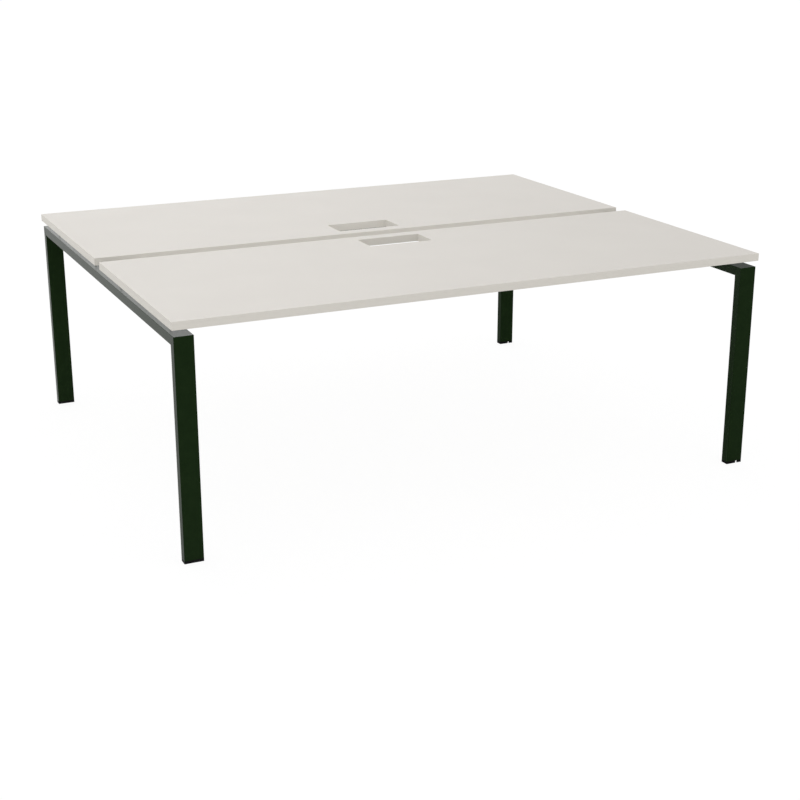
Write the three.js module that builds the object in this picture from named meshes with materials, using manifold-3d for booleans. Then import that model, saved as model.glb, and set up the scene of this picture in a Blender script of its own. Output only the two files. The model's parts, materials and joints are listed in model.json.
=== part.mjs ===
// Benching desk for two: worktops carried by rails between two mitred end frames on levelling glides.
// Millimetres, +Z up. The origin is on the floor under the middle of the desk.
// +X runs along the worktops and +Y points from the front user to the rear user.
import * as THREE from 'three';
import { mergeVertices } from 'three/addons/utils/BufferGeometryUtils.js';
import Module from 'manifold-3d';

// Worktops
const DESK_HEIGHT = 735;
const WORKTOP_LENGTH = 2000;
const WORKTOP_DEPTH = 800;
const WORKTOP_THICKNESS = 25;
const WORKTOP_GAP = 60;
const EDGE_THICKNESS = 2;
const EDGE_RADIUS = 1;
const CUTOUT_LENGTH = 230;
const CUTOUT_DEPTH = 112;
const CUTOUT_SETBACK = 48;
const CUTOUT_RADIUS = 5;

// End frames of mitred tube
const FRAME_INSET = 5;
const TUBE_WIDTH = 60;
const TUBE_DEPTH = 30;
const TUBE_WALL = 2;
const TUBE_RADIUS = 1.5;
const WELD_GAP = 0.3;
const SHADOW_GAP = 20;

// Worktop spacers on the crossbars
const SPACER_DIAMETER = 25;
const SPACER_PITCH = 540;
const SCREW_HOLE = 6;
const DRIVER_HOLE = 12;

// Rails and their end plates
const RAIL_WIDTH = 25;
const RAIL_WALL = 2;
const RAIL_RADIUS = 3;
const RAIL_PITCH = 340;
const RAIL_SCREW_INSET = 90;
const RAIL_SCREW_COUNT = 4;
const PLATE_THICKNESS = 5;
const PLATE_WING = 30;
const PLATE_RADIUS = 6;
const PLATE_TOP_GAP = 2;
const BOLT_HOLE = 9;
const BOLT_EDGE = 14;

// Leg caps
const FOOT_BAND = 10;
const FLOOR_GAP = 1;
const SKIRT_WALL = 2.5;
const PLUG_HEIGHT = 32;
const PLUG_WALL = 2;
const RIB_COUNT = 3;
const RIB_DEPTH = 2.5;
const RIB_THICKNESS = 2;
const NOTCH_WIDTH = 7;
const NOTCH_ROOF = 1.5;
const NOTCH_OFFSET = 9;
const FIT_GAP = 0.2;

// Levelling glides
const PAD_HEIGHT = 4.5;
const PAD_FLOOR = 1.5;
const PAD_CHAMFER = 1.5;
const PAD_LIP = 0.8;
const PAD_GAP = 0.5;
const STUD_DIAMETER = 8;
const STUD_LENGTH = 34;
const STUD_CHAMFER = 1;
const BUTTON_DIAMETER = 11;
const BUTTON_HEIGHT = 2;
const HEX_WIDTH = 13;
const HEX_HEIGHT = 3.5;
const NUT_HEIGHT = 8;

// Fineness of round forms
const CORNER_STEPS = 2;
const PLUG_STEPS = 1;
const HOLE_SIDES = 12;
const ROUND_SIDES = 16;
const LEAST_RADIUS = 0.5;

// Sizes that follow from the driving ones
const UNDERSIDE = DESK_HEIGHT - WORKTOP_THICKNESS;
const FRAME_TOP = UNDERSIDE - SHADOW_GAP;
const FRAME_DEPTH = 2 * WORKTOP_DEPTH + WORKTOP_GAP - 2 * FRAME_INSET;
const FRAME_X = WORKTOP_LENGTH / 2 - FRAME_INSET - TUBE_WIDTH / 2;
const LEG_Y = FRAME_DEPTH / 2 - TUBE_DEPTH / 2;
const WORKTOP_Y = (WORKTOP_GAP + WORKTOP_DEPTH) / 2;
const BORE_WIDTH = TUBE_WIDTH - 2 * TUBE_WALL;
const BORE_DEPTH = TUBE_DEPTH - 2 * TUBE_WALL;
const BORE_RADIUS = Math.max(TUBE_RADIUS - TUBE_WALL, LEAST_RADIUS);
const RAIL_HEIGHT = SHADOW_GAP + TUBE_DEPTH;
const RAIL_LENGTH = 2 * FRAME_X - TUBE_WIDTH - 2 * PLATE_THICKNESS;
const PAD_DIAMETER = TUBE_DEPTH - 2 * (SKIRT_WALL + PAD_GAP);
const HEX_BASE = PAD_HEIGHT + FIT_GAP;
const NUT_BASE = HEX_BASE + HEX_HEIGHT + PAD_GAP;
const RAIL_SCREW_PITCH = (RAIL_LENGTH - 2 * RAIL_SCREW_INSET) / (RAIL_SCREW_COUNT - 1);
const PLATE_BOLT_Y = RAIL_WIDTH / 2 + PLATE_WING - BOLT_EDGE;

const wasm = await Module();
wasm.setup();

const finishes = {
  melamine: new THREE.MeshStandardMaterial({ color: 0xdedbd6, roughness: 0.55, metalness: 0 }),
  edging: new THREE.MeshStandardMaterial({ color: 0xd8d4ce, roughness: 0.5, metalness: 0 }),
  greenCoat: new THREE.MeshStandardMaterial({ color: 0x1a2716, roughness: 0.45, metalness: 0 }),
  blackNylon: new THREE.MeshStandardMaterial({ color: 0x121212, roughness: 0.6, metalness: 0 }),
  zincSteel: new THREE.MeshStandardMaterial({ color: 0xa9adb0, roughness: 0.35, metalness: 1 }),
};

const X = new THREE.Vector3(1, 0, 0);
const Y = new THREE.Vector3(0, 1, 0);
const Z = new THREE.Vector3(0, 0, 1);
// The directions that an outline's x and y take when it is drawn out along each axis
const DRAWN_ALONG = { x: [Y, Z, X], y: [Z, X, Y], z: [X, Y, Z] };

// Draws a rectangle with round corners, centred on a point, into a shape or a hole
function roundRectangle(outline, width, height, radius, x = 0, y = 0) {
  const right = x + width / 2 - radius;
  const left = x - width / 2 + radius;
  const top = y + height / 2 - radius;
  const bottom = y - height / 2 + radius;
  outline.absarc(right, bottom, radius, -Math.PI / 2, 0);
  outline.absarc(right, top, radius, 0, Math.PI / 2);
  outline.absarc(left, top, radius, Math.PI / 2, Math.PI);
  outline.absarc(left, bottom, radius, Math.PI, 1.5 * Math.PI);
  outline.closePath();
  return outline;
}

function block(width, height, radius, x, y) {
  return roundRectangle(new THREE.Shape(), width, height, radius, x, y);
}

// The section of a rectangular tube: its round-cornered outline with the bore as a hole
function tubeSection(width, height, wall, radius) {
  const section = block(width, height, radius);
  const boreRadius = Math.max(radius - wall, LEAST_RADIUS);
  section.holes.push(roundRectangle(new THREE.Path(), width - 2 * wall, height - 2 * wall, boreRadius));
  return section;
}

// The corners of a regular polygon, the first of them on its x axis
function polygon(sides, radius, x = 0, y = 0) {
  return Array.from({ length: sides }, (_, index) => {
    const angle = (2 * Math.PI * index) / sides;
    return new THREE.Vector2(x + radius * Math.cos(angle), y + radius * Math.sin(angle));
  });
}

// A hexagon given by its width across flats, which face along y
function hexagon(width) {
  return new THREE.Shape(polygon(6, width / Math.sqrt(3)));
}

function roundHole(diameter, x, y, sides = HOLE_SIDES) {
  return new THREE.Path(polygon(sides, diameter / 2, x, y));
}

// Draws a shape out along an axis, centred on it
function drawOut(shape, length, axis, steps = CORNER_STEPS) {
  const options = { depth: length, bevelEnabled: false, curveSegments: steps };
  const geometry = new THREE.ExtrudeGeometry(shape, options);
  geometry.translate(0, 0, -length / 2);
  return geometry.applyMatrix4(new THREE.Matrix4().makeBasis(...DRAWN_ALONG[axis]));
}

// Draws a shape out along +Z between two heights
function between(low, high, shape, steps) {
  return drawOut(shape, high - low, 'z', steps).translate(0, 0, (low + high) / 2);
}

function cylinder(diameter, low, high, sides = ROUND_SIDES) {
  const round = new THREE.CylinderGeometry(diameter / 2, diameter / 2, high - low, sides);
  return round.rotateX(Math.PI / 2).translate(0, 0, (low + high) / 2);
}

// Revolves a profile of radius and height round the Z axis
function revolve(profile, sides = ROUND_SIDES) {
  const points = profile.map(([radius, height]) => new THREE.Vector2(radius, height));
  return new THREE.LatheGeometry(points, sides).rotateX(Math.PI / 2);
}

// Moves each vertex of a geometry by a rule, as a slanting saw cut does
function reshape(geometry, rule) {
  const position = geometry.attributes.position;
  const point = new THREE.Vector3();
  for (let index = 0; index < position.count; index += 1) {
    rule(point.fromBufferAttribute(position, index));
    position.setXYZ(index, point.x, point.y, point.z);
  }
  return geometry;
}

function toSolid(geometry) {
  const bare = geometry.clone();
  bare.deleteAttribute('normal');
  bare.deleteAttribute('uv');
  const merged = mergeVertices(bare);
  return new wasm.Manifold(new wasm.Mesh({
    numProp: 3,
    vertProperties: merged.attributes.position.array,
    triVerts: merged.index.array,
  }));
}

function toGeometry(solid) {
  const { vertProperties, triVerts } = solid.getMesh();
  const geometry = new THREE.BufferGeometry();
  geometry.setAttribute('position', new THREE.BufferAttribute(vertProperties, 3));
  geometry.setIndex(new THREE.BufferAttribute(triVerts, 1));
  const flat = geometry.toNonIndexed();
  flat.computeVertexNormals();
  return flat;
}

function join(...geometries) {
  return toGeometry(geometries.map(toSolid).reduce((whole, piece) => whole.add(piece)));
}

function cut(geometry, ...tools) {
  return toGeometry(tools.map(toSolid).reduce((rest, tool) => rest.subtract(tool), toSolid(geometry)));
}

function piece(name, geometry, finish) {
  const mesh = new THREE.Mesh(geometry, finishes[finish]);
  mesh.name = name;
  return mesh;
}

// A row of evenly spaced places, centred on zero
function row(count, pitch) {
  return Array.from({ length: count }, (_, index) => (index - (count - 1) / 2) * pitch);
}

// A worktop edge strip along X with its outer face towards -Y and both outer arrises rounded
function edgeStrip(length) {
  const centre = EDGE_RADIUS - EDGE_THICKNESS;
  const profile = new THREE.Shape();
  profile.moveTo(0, 0);
  profile.lineTo(0, WORKTOP_THICKNESS);
  profile.absarc(centre, WORKTOP_THICKNESS - EDGE_RADIUS, EDGE_RADIUS, Math.PI / 2, Math.PI);
  profile.absarc(centre, EDGE_RADIUS, EDGE_RADIUS, Math.PI, 1.5 * Math.PI);
  profile.closePath();
  return drawOut(profile, length, 'x');
}

// A worktop with its user side towards -Y, centred in plan and standing on z = 0
function worktop(user, leftEnd, rightEnd) {
  const boardLength = WORKTOP_LENGTH - 2 * EDGE_THICKNESS;
  const boardDepth = WORKTOP_DEPTH - 2 * EDGE_THICKNESS;
  const cutoutY = WORKTOP_DEPTH / 2 - CUTOUT_SETBACK - CUTOUT_DEPTH / 2;
  const lipping = {
    width: CUTOUT_LENGTH + 2 * EDGE_THICKNESS,
    height: CUTOUT_DEPTH + 2 * EDGE_THICKNESS,
    radius: CUTOUT_RADIUS + EDGE_THICKNESS,
  };

  const board = new THREE.Shape();
  board.moveTo(-boardLength / 2, -boardDepth / 2);
  board.lineTo(boardLength / 2, -boardDepth / 2);
  board.lineTo(boardLength / 2, boardDepth / 2);
  board.lineTo(-boardLength / 2, boardDepth / 2);
  board.closePath();
  const mouth = roundRectangle(new THREE.Path(), lipping.width, lipping.height, lipping.radius, 0, cutoutY);
  board.holes.push(mouth);

  const band = block(lipping.width, lipping.height, lipping.radius, 0, cutoutY);
  band.holes.push(roundRectangle(new THREE.Path(), CUTOUT_LENGTH, CUTOUT_DEPTH, CUTOUT_RADIUS, 0, cutoutY));

  const group = new THREE.Group();
  group.add(piece(`${user}_worktop_board`, between(0, WORKTOP_THICKNESS, board), 'melamine'));
  group.add(piece(`${user}_cutout_lipping`, between(0, WORKTOP_THICKNESS, band), 'edging'));

  const sides = [
    { name: 'user', length: WORKTOP_LENGTH, turn: 0, x: 0, y: -boardDepth / 2 },
    { name: rightEnd, length: boardDepth, turn: 1, x: boardLength / 2, y: 0 },
    { name: 'inner', length: WORKTOP_LENGTH, turn: 2, x: 0, y: boardDepth / 2 },
    { name: leftEnd, length: boardDepth, turn: 3, x: -boardLength / 2, y: 0 },
  ];
  for (const side of sides) {
    const strip = piece(`${user}_worktop_${side.name}_edge`, edgeStrip(side.length), 'edging');
    strip.rotation.z = (side.turn * Math.PI) / 2;
    strip.position.set(side.x, side.y, 0);
    group.add(strip);
  }
  return group;
}

// A leg standing on z = 0 with its outer face towards -Y, mitred so that its inner face is shorter
function leg() {
  const length = FRAME_TOP - FOOT_BAND;
  const tube = between(0, length, tubeSection(TUBE_WIDTH, TUBE_DEPTH, TUBE_WALL, TUBE_RADIUS));
  return reshape(tube, (point) => {
    if (point.z > length / 2) point.z -= point.y + TUBE_DEPTH / 2;
  });
}

// A crossbar along Y, centred, mitred at both ends, drilled for worktop screws and for the rails' bolts
function crossbar() {
  const section = tubeSection(TUBE_DEPTH, TUBE_WIDTH, TUBE_WALL, TUBE_RADIUS);
  const tube = drawOut(section, FRAME_DEPTH - 2 * WELD_GAP, 'y');
  reshape(tube, (point) => {
    point.y -= Math.sign(point.y) * (TUBE_DEPTH / 2 - point.z);
  });
  const tools = [];
  for (const worktopY of [-WORKTOP_Y, WORKTOP_Y]) {
    for (const offset of row(2, SPACER_PITCH)) {
      const screw = cylinder(SCREW_HOLE, 0, TUBE_DEPTH, HOLE_SIDES);
      const driver = cylinder(DRIVER_HOLE, -TUBE_DEPTH, 0, HOLE_SIDES);
      tools.push(screw.translate(0, worktopY + offset, 0), driver.translate(0, worktopY + offset, 0));
    }
    for (const offset of row(2, RAIL_PITCH)) {
      for (const side of [-PLATE_BOLT_Y, PLATE_BOLT_Y]) {
        const bolt = cylinder(BOLT_HOLE, -TUBE_WIDTH, 0, HOLE_SIDES).rotateY(Math.PI / 2);
        tools.push(bolt.translate(0, worktopY + offset + side, 0));
      }
    }
  }
  return cut(tube, ...tools);
}

// A spacer ring that keeps the shadow gap and passes a worktop screw
function spacer() {
  const outer = SPACER_DIAMETER / 2;
  const bore = SCREW_HOLE / 2;
  return revolve([[bore, 0], [outer, 0], [outer, SHADOW_GAP], [bore, SHADOW_GAP], [bore, 0]]);
}

// A ribbed moulding that plugs a leg's foot: skirt, plug, ribs, wells, glide pocket, nut seat and tool notch
function legCap() {
  const coreWidth = BORE_WIDTH - 2 * RIB_DEPTH;
  const coreDepth = BORE_DEPTH - 2 * RIB_DEPTH;
  const plugTop = FOOT_BAND + PLUG_HEIGHT;
  const skirt = between(FLOOR_GAP, FOOT_BAND, block(TUBE_WIDTH, TUBE_DEPTH, TUBE_RADIUS));
  const core = between(FLOOR_GAP, plugTop, block(coreWidth, coreDepth, BORE_RADIUS), PLUG_STEPS);
  const ribs = row(RIB_COUNT, (PLUG_HEIGHT - RIB_THICKNESS) / RIB_COUNT).map((offset) => {
    const middle = FOOT_BAND + PLUG_HEIGHT / 2 + offset;
    const plate = block(BORE_WIDTH - 2 * FIT_GAP, BORE_DEPTH - 2 * FIT_GAP, BORE_RADIUS);
    return between(middle - RIB_THICKNESS / 2, middle + RIB_THICKNESS / 2, plate, PLUG_STEPS);
  });

  const boss = HEX_WIDTH / Math.sqrt(3) + FIT_GAP + PLUG_WALL;
  const coreLength = coreWidth / 2 - PLUG_WALL - boss;
  const hollows = [-1, 1].map((side) => {
    const hollow = block(coreLength, coreDepth - 2 * PLUG_WALL, BORE_RADIUS);
    const tool = between(FOOT_BAND + PLUG_WALL, plugTop + PLUG_WALL, hollow, PLUG_STEPS);
    return tool.translate(side * (boss + coreLength / 2), 0, 0);
  });
  const notchTop = FOOT_BAND - NOTCH_ROOF;
  const pocketRadius = PAD_DIAMETER / 2 + PAD_GAP;
  // A well starts where the room beside the pocket's wall is as wide as that wall
  const wellStart = 2 * Math.sqrt(pocketRadius * PLUG_WALL);
  const wellLength = TUBE_WIDTH / 2 - SKIRT_WALL - wellStart;
  const wells = [-1, 1].map((side) => {
    const well = between(0, notchTop, block(wellLength, 2 * pocketRadius, LEAST_RADIUS), PLUG_STEPS);
    well.translate(side * (wellStart + wellLength / 2), 0, 0);
    return cut(well, cylinder(2 * (pocketRadius + PLUG_WALL), 0, notchTop));
  });
  const pocket = cylinder(2 * pocketRadius, 0, NUT_BASE);
  const nutSeat = between(FLOOR_GAP, NUT_BASE + NUT_HEIGHT, hexagon(HEX_WIDTH + 2 * FIT_GAP));
  const bore = cylinder(STUD_DIAMETER + 2 * FIT_GAP, 0, plugTop + PLUG_WALL);
  const notch = new THREE.BoxGeometry(NOTCH_WIDTH, TUBE_DEPTH / 2, notchTop);
  notch.translate(NOTCH_OFFSET, -TUBE_DEPTH / 2, notchTop / 2);
  return cut(join(skirt, core, ...ribs), ...hollows, ...wells, pocket, nutSeat, bore, notch);
}

// The nut that the cap holds up against the weight of the desk
function threadInsert() {
  const outline = hexagon(HEX_WIDTH);
  outline.holes.push(roundHole(STUD_DIAMETER + 2 * FIT_GAP, 0, 0, ROUND_SIDES));
  return between(NUT_BASE, NUT_BASE + NUT_HEIGHT, outline);
}

// A round glide pad with an undercut socket that keeps the stud's button captive
function glidePad() {
  const rim = PAD_DIAMETER / 2;
  const socket = BUTTON_DIAMETER / 2 + FIT_GAP;
  const mouth = STUD_DIAMETER / 2 + 2 * FIT_GAP;
  return revolve([
    [0, 0],
    [rim - PAD_CHAMFER, 0],
    [rim, PAD_CHAMFER],
    [rim, PAD_HEIGHT - PAD_CHAMFER],
    [rim - PAD_CHAMFER, PAD_HEIGHT],
    [mouth, PAD_HEIGHT],
    [mouth, PAD_HEIGHT - PAD_LIP],
    [socket, PAD_HEIGHT - PAD_LIP],
    [socket, PAD_FLOOR],
    [0, PAD_FLOOR],
  ]);
}

// A levelling stud: a button that turns in the pad, a hexagon for the spanner, and the screwed shank
function levellingStud() {
  const shank = STUD_DIAMETER / 2;
  const button = BUTTON_DIAMETER / 2;
  const turned = revolve([
    [0, PAD_FLOOR],
    [button, PAD_FLOOR],
    [button, PAD_FLOOR + BUTTON_HEIGHT],
    [shank, PAD_FLOOR + BUTTON_HEIGHT],
    [shank, PAD_FLOOR + STUD_LENGTH - STUD_CHAMFER],
    [shank - STUD_CHAMFER, PAD_FLOOR + STUD_LENGTH],
    [0, PAD_FLOOR + STUD_LENGTH],
  ], HOLE_SIDES);
  return join(turned, between(HEX_BASE, HEX_BASE + HEX_HEIGHT, hexagon(HEX_WIDTH)));
}

// An end frame in the plane x = 0, with its rails on the -X side and its foot notches towards -Y
function endFrame(side, ends) {
  const group = new THREE.Group();
  const bar = piece(`${side}_crossbar`, crossbar(), 'greenCoat');
  bar.position.z = FRAME_TOP - TUBE_DEPTH / 2;
  group.add(bar);
  ends.forEach((end, index) => {
    const outward = index === 0 ? -1 : 1;
    const corner = `${side}_${end}`;
    const post = piece(`${corner}_leg`, leg(), 'greenCoat');
    post.position.z = FOOT_BAND;
    post.rotation.z = index * Math.PI;
    const foot = new THREE.Group();
    foot.position.y = outward * LEG_Y;
    foot.add(post);
    foot.add(piece(`${corner}_leg_cap`, legCap(), 'blackNylon'));
    foot.add(piece(`${corner}_thread_insert`, threadInsert(), 'zincSteel'));
    foot.add(piece(`${corner}_levelling_stud`, levellingStud(), 'zincSteel'));
    foot.add(piece(`${corner}_glide_pad`, glidePad(), 'blackNylon'));
    group.add(foot);
    for (const [place, offset] of [['outer', SPACER_PITCH / 2], ['inner', -SPACER_PITCH / 2]]) {
      const ring = piece(`${corner}_${place}_spacer`, spacer(), 'blackNylon');
      ring.position.set(0, outward * (WORKTOP_Y + offset), FRAME_TOP);
      group.add(ring);
    }
  });
  return group;
}

// A rail along X, centred, drilled from below to drive the worktop's screws through its top wall
function rail() {
  const section = tubeSection(RAIL_WIDTH, RAIL_HEIGHT, RAIL_WALL, RAIL_RADIUS);
  const tools = row(RAIL_SCREW_COUNT, RAIL_SCREW_PITCH).flatMap((place) => [
    cylinder(SCREW_HOLE, 0, RAIL_HEIGHT, HOLE_SIDES).translate(place, 0, 0),
    cylinder(DRIVER_HOLE, -RAIL_HEIGHT, 0, HOLE_SIDES).translate(place, 0, 0),
  ]);
  return cut(drawOut(section, RAIL_LENGTH, 'x'), ...tools);
}

// An end plate: a tongue that closes the rail, over two wings that bolt to the crossbar's inner face
function endPlate() {
  const tongue = RAIL_WIDTH / 2;
  const wing = tongue + PLATE_WING;
  const shoulder = TUBE_DEPTH - PLATE_RADIUS;
  const outline = new THREE.Shape();
  outline.moveTo(tongue, RAIL_HEIGHT - PLATE_TOP_GAP);
  outline.lineTo(-tongue, RAIL_HEIGHT - PLATE_TOP_GAP);
  outline.lineTo(-tongue, TUBE_DEPTH);
  outline.absarc(PLATE_RADIUS - wing, shoulder, PLATE_RADIUS, Math.PI / 2, Math.PI);
  outline.absarc(PLATE_RADIUS - wing, PLATE_RADIUS, PLATE_RADIUS, Math.PI, 1.5 * Math.PI);
  outline.absarc(wing - PLATE_RADIUS, PLATE_RADIUS, PLATE_RADIUS, 1.5 * Math.PI, 2 * Math.PI);
  outline.absarc(wing - PLATE_RADIUS, shoulder, PLATE_RADIUS, 0, Math.PI / 2);
  outline.lineTo(tongue, TUBE_DEPTH);
  outline.closePath();
  for (const side of [-PLATE_BOLT_Y, PLATE_BOLT_Y]) {
    outline.holes.push(roundHole(BOLT_HOLE, side, TUBE_DEPTH / 2));
  }
  return drawOut(outline, PLATE_THICKNESS, 'x');
}

// A rail with the plates welded to its ends, centred in plan, with the rail's foot at z = 0
function railSet(name) {
  const group = new THREE.Group();
  const tube = piece(`${name}_rail`, rail(), 'greenCoat');
  tube.position.z = RAIL_HEIGHT / 2;
  group.add(tube);
  for (const [side, sign] of [['left', -1], ['right', 1]]) {
    const plate = piece(`${name}_rail_${side}_plate`, endPlate(), 'greenCoat');
    plate.position.x = (sign * (RAIL_LENGTH + PLATE_THICKNESS)) / 2;
    group.add(plate);
  }
  return group;
}

const desk = new THREE.Group();
desk.name = 'benching_desk_for_two';

const frontWorktop = worktop('front', 'left', 'right');
frontWorktop.position.set(0, -WORKTOP_Y, UNDERSIDE);
const rearWorktop = worktop('rear', 'right', 'left');
rearWorktop.position.set(0, WORKTOP_Y, UNDERSIDE);
rearWorktop.rotation.z = Math.PI;
desk.add(frontWorktop, rearWorktop);

// The left frame is the right one turned half round, so its foot notches face the rear user
const rightFrame = endFrame('right', ['front', 'rear']);
rightFrame.position.x = FRAME_X;
const leftFrame = endFrame('left', ['rear', 'front']);
leftFrame.position.x = -FRAME_X;
leftFrame.rotation.z = Math.PI;
desk.add(rightFrame, leftFrame);

for (const [user, sign] of [['front', -1], ['rear', 1]]) {
  for (const [place, offset] of [['outer', RAIL_PITCH / 2], ['inner', -RAIL_PITCH / 2]]) {
    const set = railSet(`${user}_${place}`);
    set.position.set(0, sign * (WORKTOP_Y + offset), UNDERSIDE - RAIL_HEIGHT);
    desk.add(set);
  }
}

export default desk;
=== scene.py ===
# Looks of the benching desk for two: finishes, welds, fasteners and levelling screws
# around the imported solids. Metres, +Z up, in the solids' own frame.
import json
import math

import bmesh
import bpy
from mathutils import Matrix, Vector


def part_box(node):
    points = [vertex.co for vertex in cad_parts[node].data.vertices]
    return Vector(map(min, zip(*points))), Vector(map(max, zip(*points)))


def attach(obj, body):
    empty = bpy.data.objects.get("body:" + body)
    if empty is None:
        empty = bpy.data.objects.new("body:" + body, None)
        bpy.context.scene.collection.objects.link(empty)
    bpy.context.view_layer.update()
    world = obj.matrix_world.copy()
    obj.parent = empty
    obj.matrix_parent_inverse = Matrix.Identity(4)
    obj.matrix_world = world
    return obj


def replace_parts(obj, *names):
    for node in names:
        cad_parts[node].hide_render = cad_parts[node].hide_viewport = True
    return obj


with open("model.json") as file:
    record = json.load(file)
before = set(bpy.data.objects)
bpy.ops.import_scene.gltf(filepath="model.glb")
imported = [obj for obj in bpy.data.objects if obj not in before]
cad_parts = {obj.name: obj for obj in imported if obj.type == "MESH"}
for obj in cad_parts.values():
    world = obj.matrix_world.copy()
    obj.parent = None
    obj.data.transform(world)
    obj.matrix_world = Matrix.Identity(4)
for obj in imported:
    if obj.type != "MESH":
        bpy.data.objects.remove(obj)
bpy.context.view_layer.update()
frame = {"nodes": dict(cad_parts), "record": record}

MM = 0.001

# Words in the names of solids and bodies
USERS = ("front", "rear")
SIDES = {"left": -1, "right": 1}
PLACES = ("outer", "inner")
CORNERS = [(side, user) for side in SIDES for user in USERS]
RAILS = [f"{user}_{place}_rail" for user in USERS for place in PLACES]
CROSSBARS = [f"{side}_crossbar" for side in SIDES]
DESK = "desk"

# The photograph's viewpoint, solved from the desk's straight edges
CAMERA_PLACE = Vector((-2.1079, -4.7055, 1.8374))
CAMERA_YAW = math.radians(24.959)
CAMERA_PITCH = math.radians(18.458)
CAMERA_ROLL = math.radians(-0.047)
CAMERA_FIELD = math.radians(29.938)

# The room's light and two soft patches of it, which fade out from the core to the edge round their middle.
# Bearings are clockwise from +Y, seen from above.
WORLD_STRENGTH = 0.83
WINDOW = {
    "strength": 1.5,
    "bearing": math.radians(10),
    "rise": math.radians(14),
    "core": math.radians(8),
    "edge": math.radians(30),
}
SCREEN = {
    "strength": -0.6,
    "bearing": math.radians(48),
    "rise": math.radians(14),
    "core": math.radians(12),
    "edge": math.radians(32),
}
SOFTBOX_WIDTH = 0.6
SOFTBOX_LENGTH = 4.0
SOFTBOX_PLACE = Vector((-1.1, 0.0, 2.2))
SOFTBOX_POWER = 2.5

# Floor
FLOOR_SIZE = 120.0
FLOOR_ALBEDO = 0.9
FLOOR_GLOW = 0.92
FLOOR_SHADOW_SHARE = 0.12
# Painted shade in the floor's gloss: how bright the floor is in reflections, between two places across it
# and two along it
GLOSS_ACROSS = (-0.75, 0.1)
GLOSS_LEFT = 1.0
GLOSS_RIGHT = 0.4
GLOSS_ALONG = (-0.6, 2.6)
GLOSS_FRONT = 0.75
GLOSS_REAR = 1.15

# Edges of the solids: how far each finish breaks them, and the bend from which they count as edges
EDGE_BREAK = {
    "melamine_board": 0.15 * MM,
    "abs_edging": 0.15 * MM,
    "green_powder_coat": 0.5 * MM,
    "black_nylon": 0.4 * MM,
    "zinc_plated_steel": 0.3 * MM,
}
EDGE_STEPS = 2
EDGE_ANGLE = math.radians(55)
FACE_WEIGHT = 100
MERGE_REACH = 0.01 * MM

# Tubes: their screwdriver holes have 12 sides, which meet at 30 degrees
TUBE_WALL = 2.0 * MM
TUBE_RADIUS = 1.5 * MM
HOLE_EDGE_LONGEST = 1.25 * TUBE_WALL
HOLE_BEND_LEAST = math.radians(20)
HOLE_BEND_MOST = math.radians(40)
HOLE_ROUNDING = 1.2 * MM
HOLE_STEPS = 3

# Dressed welds in the mitres of the end frames
MITRE_GAP = 0.3 * MM
MITRE_REACH = 1.2 * MM
MITRE_PROUD = 0.12 * MM
MITRE_TOE = 0.03 * MM
MITRE_ROOT = 0.5 * MM

# Weld beads at the rails' ends: least, swell, wave and crown are shares of the leg, taper of the length
BEAD_LEG = 3.5 * MM
BEAD_LEAST = 0.5
BEAD_SWELL = 0.35
BEAD_WAVE = 0.15
BEAD_CROWN = 0.62
BEAD_TAPER = 0.25
BEAD_RIPPLE = 1.6 * MM
BEAD_INSET = 2.0 * MM
BEAD_ROOT = 0.3 * MM
BEAD_TOE = 0.2 * MM
BEAD_STEPS = 36

# Hexagons of bolts and studs: the share of their width that is flat on top, and their chamfer in degrees
HEX_FACE = 0.95
HEX_CHAMFER = 30

# Flange bolts, a pair on each end plate at that reach from its middle
BOLT_REACH = 28.5 * MM
BOLT_SPIN = math.radians(29.637)
BOLT_GRIP = 18.0 * MM
BOLT_SHANK = 8.0 * MM
BOLT_POINT = 0.8 * MM
BOLT_FLANGE = 17.0 * MM
BOLT_FLANGE_RIM = 1.2 * MM
BOLT_FLANGE_EDGE = 0.3 * MM
BOLT_COLLAR = 15.47 * MM
BOLT_COLLAR_TOP = 2.1 * MM
BOLT_HEX = 13.0 * MM
BOLT_HEX_LOW = 2.3 * MM
BOLT_HEAD = 7.6 * MM
BOLT_DISH_RIM = 0.6 * MM
BOLT_DISH_SLOPE = 0.4 * MM
BOLT_DISH_DEPTH = 0.3 * MM

# Pan-head screws, in rows along the rails and through the spacers on the crossbars.
# Each is turned by the spin, in radians, from the last, and its dome has rings at those degrees.
RAIL_SCREWS = (-840 * MM, -280 * MM, 280 * MM, 840 * MM)
SPACER_SCREWS = (-160 * MM, -700 * MM, 160 * MM, 700 * MM)
SCREW_SPIN = 0.7
SCREW_SHANK = 4.5 * MM
SCREW_SHORT = 0.1 * MM
SCREW_HEAD = 10.5 * MM
SCREW_HEAD_HEIGHT = 2.8 * MM
SCREW_EDGE = 0.2 * MM
SCREW_DOME = (15, 35, 55, 68)
SCREW_CROWN = 0.1 * MM
# Their cross recess: its size is a share of the head's, and its rings have a depth and a share of that size
RECESS_SIZE = 0.34
RECESS_ARM = 0.26
RECESS_WEB = 0.36
RECESS_RINGS = ((0.0, 1.0), (1.3 * MM, 0.72), (1.6 * MM, 0.2))

# Spacers
SPACER_BORE = 6.0 * MM
SPACER_EDGE = 0.6 * MM

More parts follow.
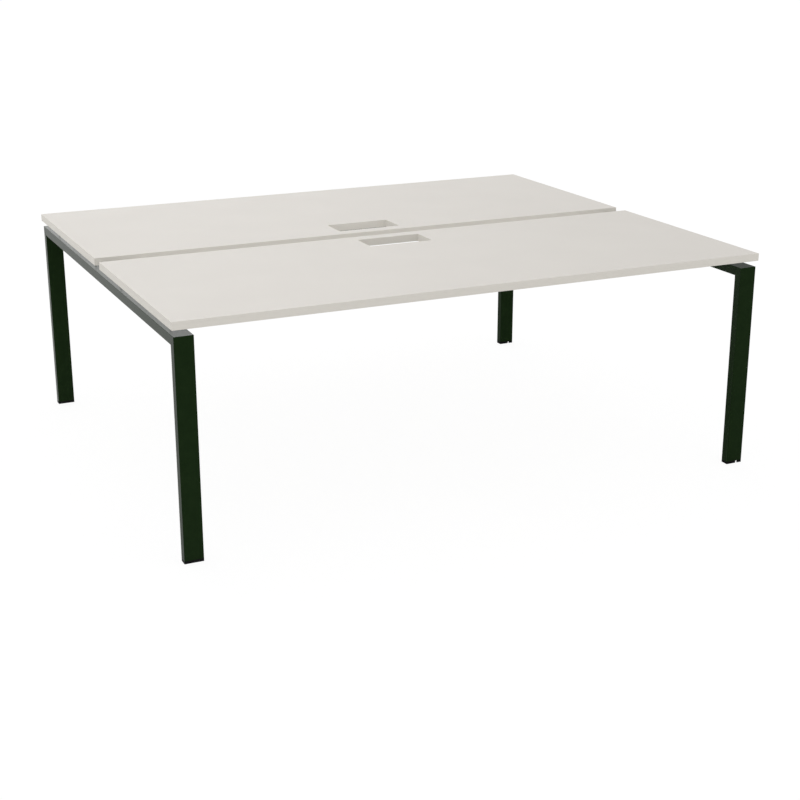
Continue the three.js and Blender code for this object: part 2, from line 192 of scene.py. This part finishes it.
# Levelling screws; slope and root shape the flanks of the thread within a pitch
THREAD_PITCH = 1.25 * MM
THREAD_DEPTH = 0.68 * MM
THREAD_SLOPE = 2.4
THREAD_ROOT = 0.1
THREAD_STEPS = 6
STUD_SHANK = 8.0 * MM
STUD_POINT = 0.4 * MM
STUD_NECK = 0.3 * MM
STUD_HEX = 13.0 * MM
STUD_HEX_LOW = 4.7 * MM
STUD_HEX_HIGH = 8.2 * MM
STUD_BUTTON = 11.0 * MM
STUD_BUTTON_HEIGHT = 2.0 * MM
STUD_BUTTON_EDGE = 0.3 * MM
PAD_FILLET = 1.5 * MM
PAD_SOCKET = 11.4 * MM
PAD_MOUTH = 8.8 * MM
PAD_MOUTH_EDGE = 0.2 * MM
PAD_FLOOR = 1.5 * MM
PAD_LIP = 0.8 * MM

# Fineness of round shapes, and the bends in degrees below which pieces are shaded smooth
ROUND = 48
TURNS = [2 * math.pi * index / ROUND for index in range(ROUND)]
CORNER_STEPS = 6
SMOOTH_BELOW = 40
SMOOTH_RIPPLES_BELOW = 50

# Where nearly all values of a noise texture lie, and its usual detail
NOISE_LOW = 0.3
NOISE_HIGH = 0.7
NOISE_DETAIL = 2.0


def srgb(red, green, blue):
    """A linear colour from 0 to 255 screen values."""
    def linear(value):
        share = value / 255
        return share / 12.92 if share <= 0.04045 else ((share + 0.055) / 1.055) ** 2.4
    return (linear(red), linear(green), linear(blue), 1.0)


# Node trees

def add(tree, kind, **settings):
    """A new node; settings name its properties, or its input sockets where they start with in_."""
    node = tree.nodes.new(kind)
    for name, value in settings.items():
        if name.startswith("in_"):
            node.inputs[name.removeprefix("in_").replace("_", " ").title()].default_value = value
        else:
            setattr(node, name, value)
    return node


def calculate(tree, operation, first, second):
    """The result of a calculation or comparison with two values, each a socket or a number."""
    node = add(tree, "ShaderNodeMath", operation=operation)
    for socket, value in zip(node.inputs, (first, second)):
        if isinstance(value, bpy.types.NodeSocket):
            tree.links.new(value, socket)
        else:
            socket.default_value = value
    return node.outputs[0]


def ramp(tree, value, start, end, low, high, kind="LINEAR"):
    """Runs from low to high while a value runs from start to end, and stays there outside them."""
    node = add(tree, "ShaderNodeMapRange", interpolation_type=kind)
    node.inputs["From Min"].default_value = start
    node.inputs["From Max"].default_value = end
    node.inputs["To Min"].default_value = low
    node.inputs["To Max"].default_value = high
    tree.links.new(value, node.inputs["Value"])
    return node.outputs["Result"]


def noise(tree, place, cells, detail=NOISE_DETAIL):
    """The value of a noise texture with that many cells to the metre."""
    texture = add(tree, "ShaderNodeTexNoise", in_scale=cells, in_detail=detail)
    tree.links.new(place, texture.inputs["Vector"])
    return texture.outputs["Fac"]


def spread(tree, value, low, high):
    """A noise value stretched from low to high."""
    return ramp(tree, value, NOISE_LOW, NOISE_HIGH, low, high)


def between(tree, value, first, second):
    """A colour between two, by a noise value."""
    node = add(tree, "ShaderNodeMix", data_type="RGBA")
    tree.links.new(spread(tree, value, 0.0, 1.0), node.inputs["Factor"])
    node.inputs["A"].default_value = first
    node.inputs["B"].default_value = second
    return node.outputs["Result"]


def bump(tree, height, depth, below):
    """The normal of a surface raised by a value from 0 to 1 times depth, over another bump if any."""
    node = add(tree, "ShaderNodeBump", in_strength=1.0, in_distance=depth)
    tree.links.new(height, node.inputs["Height"])
    if below is not None:
        tree.links.new(below, node.inputs["Normal"])
    return node.outputs["Normal"]


# Finishes

def varied_finish(name, tones, tone_noise, roughness, roughness_noise, relief, settings, stretch=None):
    """A material whose tone, roughness and relief vary with noise over the surface.

    Each noise goes by its cells to the metre and its detail, and each layer of relief has a depth too.
    The settings are constants of the shader, and stretch scales the noise along the axes.
    """
    made = bpy.data.materials.new(name)
    made.use_nodes = True
    tree = made.node_tree
    shader = tree.nodes["Principled BSDF"]
    place = add(tree, "ShaderNodeTexCoord").outputs["Object"]
    if stretch is not None:
        mapping = add(tree, "ShaderNodeMapping", in_scale=stretch)
        tree.links.new(place, mapping.inputs["Vector"])
        place = mapping.outputs["Vector"]
    tone = between(tree, noise(tree, place, **tone_noise), *tones)
    tree.links.new(tone, shader.inputs["Base Color"])
    gloss = spread(tree, noise(tree, place, **roughness_noise), *roughness)
    tree.links.new(gloss, shader.inputs["Roughness"])
    normal = None
    for depth, layer_noise in relief:
        normal = bump(tree, noise(tree, place, **layer_noise), depth, normal)
    tree.links.new(normal, shader.inputs["Normal"])
    for socket, value in settings.items():
        shader.inputs[socket].default_value = value
    return made


def melamine():
    """Off-white melamine facing with a fine pearl texture."""
    return varied_finish(
        "pearl_melamine",
        tones=(srgb(224, 220, 214), srgb(222, 218, 212)),
        tone_noise={"cells": 5.0, "detail": 4.0},
        roughness=(0.46, 0.56),
        roughness_noise={"cells": 260.0},
        relief=[(0.02 * MM, {"cells": 1500.0, "detail": 3.0})],
        settings={"Specular IOR Level": 0.04},
    )


def edging():
    """Off-white extruded edging, with faint lines along its length."""
    lines = {"cells": 1.0}
    return varied_finish(
        "satin_edging",
        tones=(srgb(226, 222, 214), srgb(223, 219, 211)),
        tone_noise=lines,
        roughness=(0.40, 0.48),
        roughness_noise=lines,
        relief=[(0.01 * MM, lines)],
        settings={"Specular IOR Level": 0.04},
        stretch=(4.0, 4.0, 900.0),
    )


def powder_coat():
    """Very dark green powder coat with a slight orange peel."""
    return varied_finish(
        "dark_green_coat",
        tones=(srgb(25, 42, 18), srgb(21, 38, 15)),
        tone_noise={"cells": 40.0, "detail": 3.0},
        roughness=(0.28, 0.36),
        roughness_noise={"cells": 700.0},
        relief=[(0.02 * MM, {"cells": 420.0}), (0.006 * MM, {"cells": 2400.0})],
        settings={"Specular IOR Level": 0.08, "Specular Tint": (0.5, 0.5, 0.5, 1)},
    )


def nylon():
    """Black moulded nylon with a spark-eroded grain."""
    return varied_finish(
        "grained_nylon",
        tones=(srgb(12, 12, 12), srgb(8, 8, 9)),
        tone_noise={"cells": 120.0, "detail": 3.0},
        roughness=(0.5, 0.65),
        roughness_noise={"cells": 900.0},
        relief=[(0.03 * MM, {"cells": 2600.0, "detail": 4.0})],
        settings={"Specular IOR Level": 0.1},
    )


def zinc():
    """Bright zinc plating with the faint tints of its passivation."""
    return varied_finish(
        "bright_zinc",
        tones=(srgb(196, 200, 204), srgb(206, 202, 188)),
        tone_noise={"cells": 220.0, "detail": 3.0},
        roughness=(0.26, 0.4),
        roughness_noise={"cells": 1100.0},
        relief=[(0.004 * MM, {"cells": 3200.0})],
        settings={"Metallic": 1.0},
    )


# The solids' own looks

def hole_corners(tree):
    """1 for the upright edges between the sides of a hole in a tube's lower wall, and 0 for others."""
    ends = add(tree, "GeometryNodeInputMeshEdgeVertices").outputs
    length = add(tree, "ShaderNodeVectorMath", operation="DISTANCE")
    tree.links.new(ends["Position 1"], length.inputs[0])
    tree.links.new(ends["Position 2"], length.inputs[1])
    place = add(tree, "ShaderNodeSeparateXYZ")
    tree.links.new(ends["Position 1"], place.inputs[0])
    bend = add(tree, "GeometryNodeInputMeshEdgeAngle").outputs["Unsigned Angle"]
    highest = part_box("left_crossbar")[0].z + HOLE_EDGE_LONGEST
    low = calculate(tree, "LESS_THAN", place.outputs["Z"], highest)
    short = calculate(tree, "LESS_THAN", length.outputs["Value"], HOLE_EDGE_LONGEST)
    bent = calculate(tree, "GREATER_THAN", bend, HOLE_BEND_LEAST)
    blunt = calculate(tree, "LESS_THAN", bend, HOLE_BEND_MOST)
    upright = calculate(tree, "MULTIPLY", low, short)
    corner = calculate(tree, "MULTIPLY", bent, blunt)
    return calculate(tree, "MULTIPLY", upright, corner)


def smooth_group():
    """A node group that joins a solid's split points, marks its hole corners and shades it smooth."""
    tree = bpy.data.node_groups.new("smooth_solid", "GeometryNodeTree")
    tree.interface.new_socket("Geometry", in_out="INPUT", socket_type="NodeSocketGeometry")
    tree.interface.new_socket("Geometry", in_out="OUTPUT", socket_type="NodeSocketGeometry")
    mark = add(tree, "GeometryNodeStoreNamedAttribute", data_type="FLOAT", domain="EDGE")
    mark.inputs["Name"].default_value = "bevel_weight_edge"
    tree.links.new(hole_corners(tree), mark.inputs["Value"])
    steps = [
        add(tree, "NodeGroupInput"),
        add(tree, "GeometryNodeMergeByDistance", in_distance=MERGE_REACH),
        add(tree, "GeometryNodeRemoveAttribute", in_name="custom_normal"),
        mark,
        add(tree, "GeometryNodeSetShadeSmooth"),
        add(tree, "NodeGroupOutput"),
    ]
    for first, second in zip(steps, steps[1:]):
        tree.links.new(first.outputs["Geometry"], second.inputs["Geometry"])
    return tree


def dress_solids():
    """Gives every solid its finish, broken edges and smooth round corners."""
    group = smooth_group()
    for subpart in frame["record"]["subparts"]:
        node = subpart["node"]
        slot = subpart["material_slot"]
        solid = frame["nodes"][node]
        solid.data.materials.clear()
        solid.data.materials.append(finishes[slot])
        solid.modifiers.new("smooth", "NODES").node_group = group
        if node in RAILS + CROSSBARS:
            rounding = solid.modifiers.new("round_holes", "BEVEL")
            rounding.width = HOLE_ROUNDING
            rounding.segments = HOLE_STEPS
            rounding.limit_method = "WEIGHT"
        bevel = solid.modifiers.new("broken_edges", "BEVEL")
        bevel.width = EDGE_BREAK[slot]
        bevel.segments = EDGE_STEPS
        bevel.limit_method = "ANGLE"
        bevel.angle_limit = EDGE_ANGLE
        solid.modifiers.new("flat_faces", "WEIGHTED_NORMAL").weight = FACE_WEIGHT
        # The frames mirror the bright room past the worktops, as in the photograph
        solid.visible_glossy = "worktop" not in node


# Mesh building

def polar(radius, turn, height):
    """A point at a radius from the upright axis."""
    return (radius * math.cos(turn), radius * math.sin(turn), height)


def circle(radius, height):
    """A ring of points, counter-clockwise seen from above."""
    return [polar(radius, turn, height) for turn in TURNS]


def hexagon(width, height, chamfer_from=None, slope=-HEX_CHAMFER):
    """A ring of points on a hexagon of that width across flats.

    Outside the radius chamfer_from, it lies on a cone with that slope in degrees.
    """
    points = []
    for turn in TURNS:
        corner = (turn + math.pi / 6) % (math.pi / 3) - math.pi / 6
        radius = width / 2 / math.cos(corner)
        rise = 0.0
        if chamfer_from is not None:
            rise = max(0.0, radius - chamfer_from) * math.tan(math.radians(slope))
        points.append(polar(radius, turn, height + rise))
    return points


def arc(centre, radius, start, end):
    """Points on an arc in a plane, both ends included, from angles in degrees."""
    points = []
    for step in range(CORNER_STEPS + 1):
        angle = math.radians(start + (end - start) * step / CORNER_STEPS)
        points.append((centre[0] + radius * math.cos(angle), centre[1] + radius * math.sin(angle)))
    return points


def skin(mesh, rings, place=Matrix.Identity(4), closed=False):
    """Faces over a row of rings with as many points each; the ends are capped or, if closed, joined."""
    rows = [[mesh.verts.new(place @ Vector(point)) for point in ring] for ring in rings]
    pairs = list(zip(rows, rows[1:]))
    if closed:
        pairs.append((rows[-1], rows[0]))
    for low, high in pairs:
        for index in range(len(low)):
            after = (index + 1) % len(low)
            mesh.faces.new((low[index], low[after], high[after], high[index]))
    if not closed:
        mesh.faces.new(reversed(rows[0]))
        mesh.faces.new(rows[-1])


def link_mesh(name, mesh, material):
    """An object of its own from a bmesh, in the scene."""
    data = bpy.data.meshes.new(name)
    mesh.to_mesh(data)
    mesh.free()
    data.materials.append(material)
    made = bpy.data.objects.new(name, data)
    bpy.context.scene.collection.objects.link(made)
    return made


def finish_piece(name, mesh, slot, body=DESK, smooth_below=SMOOTH_BELOW):
    """A piece from a bmesh, with its finish, riding on a body."""
    bmesh.ops.recalc_face_normals(mesh, faces=mesh.faces)
    made = link_mesh(name, mesh, finishes[slot])
    for polygon in made.data.polygons:
        polygon.use_smooth = True
    made.data.set_sharp_from_angle(angle=math.radians(smooth_below))
    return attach(made, body)


def upright_at(low, high, height):
    """The place at a height on the upright axis of a box."""
    middle = (low + high) / 2
    return Matrix.Translation((middle.x, middle.y, height))


# Welds

def tube_outline(width, depth, radius):
    """Points and outward directions round a tube's outline, with its corners as arcs."""
    points = []
    for sign_x, sign_y, start in ((1, -1, -90), (1, 1, 0), (-1, 1, 90), (-1, -1, 180)):
        centre = (sign_x * (width / 2 - radius), sign_y * (depth / 2 - radius))
        for x, y in arc(centre, radius, start, start + 90):
            points.append((x, y, (x - centre[0]) / radius, (y - centre[1]) / radius))
    return points


def mitre_weld(side, user):
    """The dressed weld that closes the mitre between a leg and its crossbar."""
    low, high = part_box(f"{side}_{user}_leg")
    width = high.x - low.x
    depth = high.y - low.y
    inward = 1 if user == "front" else -1
    middle = (low + high) / 2
    down = Vector((0, 0, -MITRE_REACH))
    along = Vector((0, inward * (MITRE_REACH + MITRE_GAP), 0))
    rings = []
    for x, y, out_x, out_y in tube_outline(width, depth, TUBE_RADIUS):
        seam = Vector((middle.x + x, middle.y + inward * y, high.z - y - depth / 2))
        off_leg = Vector((out_x, inward * out_y, 0))
        off_bar = Vector((out_x, 0, -out_y))
        off_both = (off_leg + off_bar).normalized()
        rings.append([
            seam + down - MITRE_ROOT * off_leg,
            seam + down + MITRE_TOE * off_leg,
            seam + (MITRE_PROUD + MITRE_GAP / 2) * off_both,
            seam + along + MITRE_TOE * off_bar,
            seam + along - MITRE_ROOT * off_bar,
        ])
    mesh = bmesh.new()
    skin(mesh, rings, closed=True)
    finish_piece(f"{side}_{user}_mitre_weld", mesh, "green_powder_coat")


def plate_face(rail, side):
    """Where along the desk the inner face of a rail's end plate is."""
    low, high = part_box(f"{rail}_{side}_plate")
    return low.x if side == "right" else high.x


def rail_welds(rail, side):
    """The two rippled beads that hold a rail's end to its plate."""
    low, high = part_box(rail)
    inward = -SIDES[side]
    face = plate_face(rail, side)
    back = face - inward * BEAD_ROOT
    bottom = low.z + BEAD_INSET
    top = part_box("left_crossbar")[1].z - BEAD_INSET
    mesh = bmesh.new()
    for edge, out in ((low.y, -1), (high.y, 1)):
        inside = edge - out * BEAD_ROOT
        rings = []
        for step in range(BEAD_STEPS + 1):
            share = step / BEAD_STEPS
            height = bottom + (top - bottom) * share
            ripple = abs(math.sin(math.pi * height / BEAD_RIPPLE))
            swell = min(1.0, share / BEAD_TAPER, (1 - share) / BEAD_TAPER)
            leg = BEAD_LEG * (BEAD_LEAST + BEAD_SWELL * math.sqrt(swell) + BEAD_WAVE * ripple)
            crown = BEAD_CROWN * leg
            rings.append([
                (back, inside, height),
                (back, edge + out * leg, height),
                (face + inward * BEAD_TOE, edge + out * leg, height),
                (face + inward * crown, edge + out * crown, height),
                (face + inward * leg, edge + out * BEAD_TOE, height),
                (face + inward * leg, inside, height),
            ])
        skin(mesh, rings)
    name = f"{rail}_{side}_weld"
    finish_piece(name, mesh, "green_powder_coat", smooth_below=SMOOTH_RIPPLES_BELOW)


# Fasteners

def flange_bolt(mesh, place):
    """A hexagon flange bolt whose head stands on z = 0 and whose shank reaches down."""
    shank = BOLT_SHANK / 2
    flange = BOLT_FLANGE / 2
    flat = BOLT_HEX / 2 * HEX_FACE
    dish = flat - BOLT_DISH_RIM
    skin(mesh, [
        circle(shank - BOLT_POINT, -BOLT_GRIP),
        circle(shank, -BOLT_GRIP + BOLT_POINT),
        circle(shank, 0.0),
        circle(flange - BOLT_FLANGE_EDGE, 0.0),
        circle(flange, BOLT_FLANGE_EDGE),
        circle(flange, BOLT_FLANGE_RIM - BOLT_FLANGE_EDGE),
        circle(flange - BOLT_FLANGE_EDGE, BOLT_FLANGE_RIM),
        circle(BOLT_COLLAR / 2, BOLT_COLLAR_TOP),
        hexagon(BOLT_HEX, BOLT_HEX_LOW),
        hexagon(BOLT_HEX, BOLT_HEAD, flat),
        circle(flat, BOLT_HEAD),
        circle(dish, BOLT_HEAD),
        circle(dish - BOLT_DISH_SLOPE, BOLT_HEAD - BOLT_DISH_DEPTH),
    ], place)


def plate_bolts(rail, side):
    """The pair of bolts that holds an end plate to the crossbar."""
    low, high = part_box(f"{rail}_{side}_plate")
    face = plate_face(rail, side)
    axis_y = (low.y + high.y) / 2
    axis_z = (low.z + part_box("left_crossbar")[1].z) / 2
    turn = Matrix.Rotation(-SIDES[side] * math.pi / 2, 4, "Y")
    mesh = bmesh.new()
    for sign in (-1, 1):
        place = Matrix.Translation((face, axis_y + sign * BOLT_REACH, axis_z))
        spin = Matrix.Rotation(sign * BOLT_SPIN, 4, "Z")
        flange_bolt(mesh, place @ turn @ spin)
    finish_piece(f"{rail}_{side}_bolts", mesh, "zinc_plated_steel")


def cross_recess(radius, height):
    """A ring of a cross recess: four arms between blunt corners."""
    points = []
    for turn in TURNS:
        quarter = abs((turn + math.pi / 4) % (math.pi / 2) - math.pi / 4)
        arm = RECESS_ARM / max(math.sin(quarter), RECESS_ARM)
        points.append(polar(radius * max(arm, RECESS_WEB), turn, height))
    return points


def pan_screw(mesh, place, length):
    """A cross-recessed pan-head screw whose head hangs from z = 0 and whose shank stands up by length."""
    head = SCREW_HEAD / 2
    shank = SCREW_SHANK / 2
    rings = [circle(shank, length), circle(shank, 0.0), circle(head, -SCREW_EDGE)]
    for angle in SCREW_DOME:
        lean = math.radians(angle)
        bottom = -SCREW_HEAD_HEIGHT * math.sin(lean) - SCREW_EDGE
        rings.append(circle(head * math.cos(lean), bottom))
    crown = bottom - SCREW_CROWN
    for depth, size in RECESS_RINGS:
        rings.append(cross_recess(head * RECESS_SIZE * size, crown + depth))
    skin(mesh, rings, place)


def worktop_screws(tube, places):
    """The screws that hold the worktops to one tube, with their heads under the tube's top wall."""
    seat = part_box(tube)[1].z - TUBE_WALL
    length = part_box("front_worktop_board")[0].z - seat - SCREW_SHORT
    mesh = bmesh.new()
    for index, (x, y) in enumerate(places):
        spin = Matrix.Rotation(SCREW_SPIN * index, 4, "Z")
        pan_screw(mesh, Matrix.Translation((x, y, seat)) @ spin, length)
    finish_piece(f"{tube}_screws", mesh, "zinc_plated_steel")


# Round pieces that stand for coarser solids

def round_spacer(name):
    """A turned spacer ring with broken edges."""
    low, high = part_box(name)
    outer = (high.x - low.x) / 2
    bore = SPACER_BORE / 2
    tall = high.z - low.z
    mesh = bmesh.new()
    skin(mesh, [
        circle(bore, 0.0),
        circle(outer - SPACER_EDGE, 0.0),
        circle(outer, SPACER_EDGE),
        circle(outer, tall - SPACER_EDGE),
        circle(outer - SPACER_EDGE, tall),
        circle(bore, tall),
    ], upright_at(low, high, low.z), closed=True)
    ring = finish_piece(f"{name}_ring", mesh, "black_nylon")
    ring.visible_glossy = False
    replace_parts(ring, name)


def round_pad(corner):
    """A glide pad with rounded edges and the undercut socket that keeps its stud."""
    name = f"{corner}_glide_pad"
    low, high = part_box(name)
    inner = (high.x - low.x) / 2 - PAD_FILLET
    tall = high.z - low.z
    mouth = PAD_MOUTH / 2
    socket = PAD_SOCKET / 2
    profile = arc((inner, PAD_FILLET), PAD_FILLET, -90, 0)
    profile += arc((inner, tall - PAD_FILLET), PAD_FILLET, 0, 90)
    profile += [
        (mouth + PAD_MOUTH_EDGE, tall),
        (mouth, tall - PAD_MOUTH_EDGE),
        (mouth, tall - PAD_LIP),
        (socket, tall - PAD_LIP),
        (socket, PAD_FLOOR),
    ]
    mesh = bmesh.new()
    skin(mesh, [circle(radius, height) for radius, height in profile], upright_at(low, high, low.z))
    body = f"{corner}_glide"
    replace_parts(finish_piece(body, mesh, "black_nylon", body), name)


def thread_ring(height, top):
    """A ring of a right-hand thread, whose depth fades out near the top."""
    points = []
    fade = min(1.0, max(0.0, (top - height) / THREAD_PITCH))
    for turn in TURNS:
        phase = (height / THREAD_PITCH - turn / (2 * math.pi)) % 1.0
        flank = min(1.0, max(0.0, THREAD_SLOPE * abs(phase - 0.5) - THREAD_ROOT))
        radius = STUD_SHANK / 2 - THREAD_DEPTH * (1 - flank * fade)
        points.append(polar(radius, turn, height))
    return points


def threaded_stud(corner):
    """A levelling stud: a button that turns in the pad, a hexagon and a threaded shank."""
    name = f"{corner}_levelling_stud"
    low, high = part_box(name)
    shank = STUD_SHANK / 2
    root = shank - THREAD_DEPTH
    button = STUD_BUTTON / 2
    flat = STUD_HEX / 2 * HEX_FACE
    lift = low.z + STUD_BUTTON_HEIGHT
    first = STUD_HEX_HIGH + STUD_NECK
    top = high.z - STUD_POINT
    count = int((top - first) / THREAD_PITCH * THREAD_STEPS)
    rings = [
        circle(button - STUD_BUTTON_EDGE, low.z),
        circle(button, low.z + STUD_BUTTON_EDGE),
        circle(button, lift - STUD_BUTTON_EDGE),
        circle(button - STUD_BUTTON_EDGE, lift),
        circle(shank, lift),
        circle(shank, STUD_HEX_LOW),
        circle(flat, STUD_HEX_LOW),
        hexagon(STUD_HEX, STUD_HEX_LOW, flat, HEX_CHAMFER),
        hexagon(STUD_HEX, STUD_HEX_HIGH, flat),
        circle(flat, STUD_HEX_HIGH),
        circle(root, STUD_HEX_HIGH),
    ]
    rings += [thread_ring(first + (top - first) * step / count, top) for step in range(count + 1)]
    rings.append(circle(root - STUD_POINT, high.z))
    mesh = bmesh.new()
    skin(mesh, rings, upright_at(low, high, 0))
    body = f"{corner}_stud"
    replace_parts(finish_piece(body, mesh, "zinc_plated_steel", body, SMOOTH_RIPPLES_BELOW), name)


# Stage

def seen_directly(tree):
    """1 for what the camera sees, directly, mirrored or through glass; 0 for light that spreads."""
    path = add(tree, "ShaderNodeLightPath").outputs
    mirrored = calculate(tree, "MAXIMUM", path["Is Camera Ray"], path["Is Glossy Ray"])
    return calculate(tree, "MAXIMUM", mirrored, path["Is Transmission Ray"])


def soft_patch(tree, strength, bearing, rise, core, edge):
    """Extra light from a round soft patch of the room, by the direction that is looked in."""
    level = math.cos(rise)
    towards = (level * math.sin(bearing), level * math.cos(bearing), math.sin(rise))
    nearness = add(tree, "ShaderNodeVectorMath", operation="DOT_PRODUCT")
    tree.links.new(add(tree, "ShaderNodeTexCoord").outputs["Generated"], nearness.inputs[0])
    nearness.inputs[1].default_value = towards
    value = nearness.outputs["Value"]
    return ramp(tree, value, math.cos(edge), math.cos(core), 0.0, strength, "SMOOTHSTEP")


def set_world():
    """A white studio with a window behind the desk, and a dim screen that shows in gloss alone."""
    world = bpy.data.worlds.new("studio")
    bpy.context.scene.world = world
    world.use_nodes = True
    tree = world.node_tree
    background = tree.nodes["Background"]
    background.inputs["Color"].default_value = (1, 1, 1, 1)
    strength = ramp(tree, seen_directly(tree), 0.0, 1.0, WORLD_STRENGTH, 1.0)
    lit = calculate(tree, "ADD", strength, soft_patch(tree, **WINDOW))
    mirrored = add(tree, "ShaderNodeLightPath").outputs["Is Glossy Ray"]
    dimmed = calculate(tree, "MULTIPLY", soft_patch(tree, **SCREEN), mirrored)
    tree.links.new(calculate(tree, "ADD", lit, dimmed), background.inputs["Strength"])


def floor_glow(tree, strength):
    """How bright the floor is where it is seen: even, but with painted shade in gloss, dimmer to the front
    and right.
    """
    place = add(tree, "ShaderNodeSeparateXYZ")
    tree.links.new(add(tree, "ShaderNodeNewGeometry").outputs["Position"], place.inputs[0])
    left = strength * GLOSS_LEFT
    right = strength * GLOSS_RIGHT
    # Painted shade: in reflections the floor fades towards the right and the front
    across = ramp(tree, place.outputs["X"], *GLOSS_ACROSS, left, right, "SMOOTHSTEP")
    along = ramp(tree, place.outputs["Y"], *GLOSS_ALONG, GLOSS_FRONT, GLOSS_REAR)
    glow = add(tree, "ShaderNodeMix", data_type="FLOAT")
    tree.links.new(add(tree, "ShaderNodeLightPath").outputs["Is Glossy Ray"], glow.inputs["Factor"])
    glow.inputs["A"].default_value = strength
    tree.links.new(calculate(tree, "MULTIPLY", across, along), glow.inputs["B"])
    return glow.outputs["Result"]


def mix_shaders(tree, share, first, second):
    """A shader that goes from one to another as share goes from 0 to 1."""
    node = add(tree, "ShaderNodeMixShader")
    tree.links.new(share, node.inputs["Fac"])
    tree.links.new(first, node.inputs[1])
    tree.links.new(second, node.inputs[2])
    return node.outputs[0]


def floor_material():
    """White where it is seen, with a faint shadow of the desk; clear from below."""
    made = bpy.data.materials.new("studio_floor")
    made.use_nodes = True
    tree = made.node_tree
    tree.nodes.remove(tree.nodes["Principled BSDF"])
    albedo = (FLOOR_ALBEDO, FLOOR_ALBEDO, FLOOR_ALBEDO, 1)
    matt = add(tree, "ShaderNodeBsdfDiffuse", in_color=albedo)
    white = add(tree, "ShaderNodeEmission", in_color=(1, 1, 1, 1))
    glow_share = 1 - FLOOR_SHADOW_SHARE
    tree.links.new(floor_glow(tree, FLOOR_GLOW / glow_share), white.inputs["Strength"])
    share = calculate(tree, "MULTIPLY", seen_directly(tree), glow_share)
    lit = mix_shaders(tree, share, matt.outputs[0], white.outputs[0])
    from_below = add(tree, "ShaderNodeNewGeometry").outputs["Backfacing"]
    clear = add(tree, "ShaderNodeBsdfTransparent")
    sided = mix_shaders(tree, from_below, lit, clear.outputs[0])
    tree.links.new(sided, tree.nodes["Material Output"].inputs["Surface"])
    return made


def set_floor():
    """A floor in four panels, each of which sinks with the glide that stands on it."""
    material = floor_material()
    half = FLOOR_SIZE / 2
    for side, user in CORNERS:
        left, right = (-half, 0) if side == "left" else (0, half)
        front, rear = (-half, 0) if user == "front" else (0, half)
        corners = [(left, front, 0), (right, front, 0), (right, rear, 0), (left, rear, 0)]
        mesh = bmesh.new()
        mesh.faces.new([mesh.verts.new(corner) for corner in corners])
        panel = link_mesh(f"{side}_{user}_floor", mesh, material)
        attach(panel, f"{side}_{user}_glide")


def set_softbox():
    """A long soft light over the left end, which faces down."""
    light = bpy.data.lights.new("softbox", "AREA")
    light.shape = "RECTANGLE"
    light.size = SOFTBOX_WIDTH
    light.size_y = SOFTBOX_LENGTH
    light.energy = SOFTBOX_POWER
    made = bpy.data.objects.new("softbox", light)
    made.location = SOFTBOX_PLACE
    made.visible_camera = False
    made.visible_glossy = False
    bpy.context.scene.collection.objects.link(made)


def set_camera():
    """A camera at the photograph's viewpoint."""
    data = bpy.data.cameras.new("camera")
    data.angle = CAMERA_FIELD
    data.clip_end = 2 * FLOOR_SIZE
    camera = bpy.data.objects.new("camera", data)
    camera.location = CAMERA_PLACE
    heading = Matrix.Rotation(-CAMERA_YAW, 4, "Z")
    tilt = Matrix.Rotation(math.pi / 2 - CAMERA_PITCH, 4, "X")
    roll = Matrix.Rotation(CAMERA_ROLL, 4, "Z")
    camera.rotation_euler = (heading @ tilt @ roll).to_euler()
    bpy.context.scene.collection.objects.link(camera)
    bpy.context.scene.camera = camera


set_camera()
finishes = {
    "melamine_board": melamine(),
    "abs_edging": edging(),
    "green_powder_coat": powder_coat(),
    "black_nylon": nylon(),
    "zinc_plated_steel": zinc(),
}
dress_solids()
for side, user in CORNERS:
    mitre_weld(side, user)
    round_pad(f"{side}_{user}")
    threaded_stud(f"{side}_{user}")
    for place in PLACES:
        round_spacer(f"{side}_{user}_{place}_spacer")
for rail in RAILS:
    for side in SIDES:
        rail_welds(rail, side)
        plate_bolts(rail, side)
for rail in RAILS:
    low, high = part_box(rail)
    axis_y = (low.y + high.y) / 2
    worktop_screws(rail, [(x, axis_y) for x in RAIL_SCREWS])
for crossbar in CROSSBARS:
    low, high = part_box(crossbar)
    axis_x = (low.x + high.x) / 2
    worktop_screws(crossbar, [(axis_x, y) for y in SPACER_SCREWS])

set_world()
set_floor()
set_softbox()
bpy.context.scene.view_settings.view_transform = "Standard"
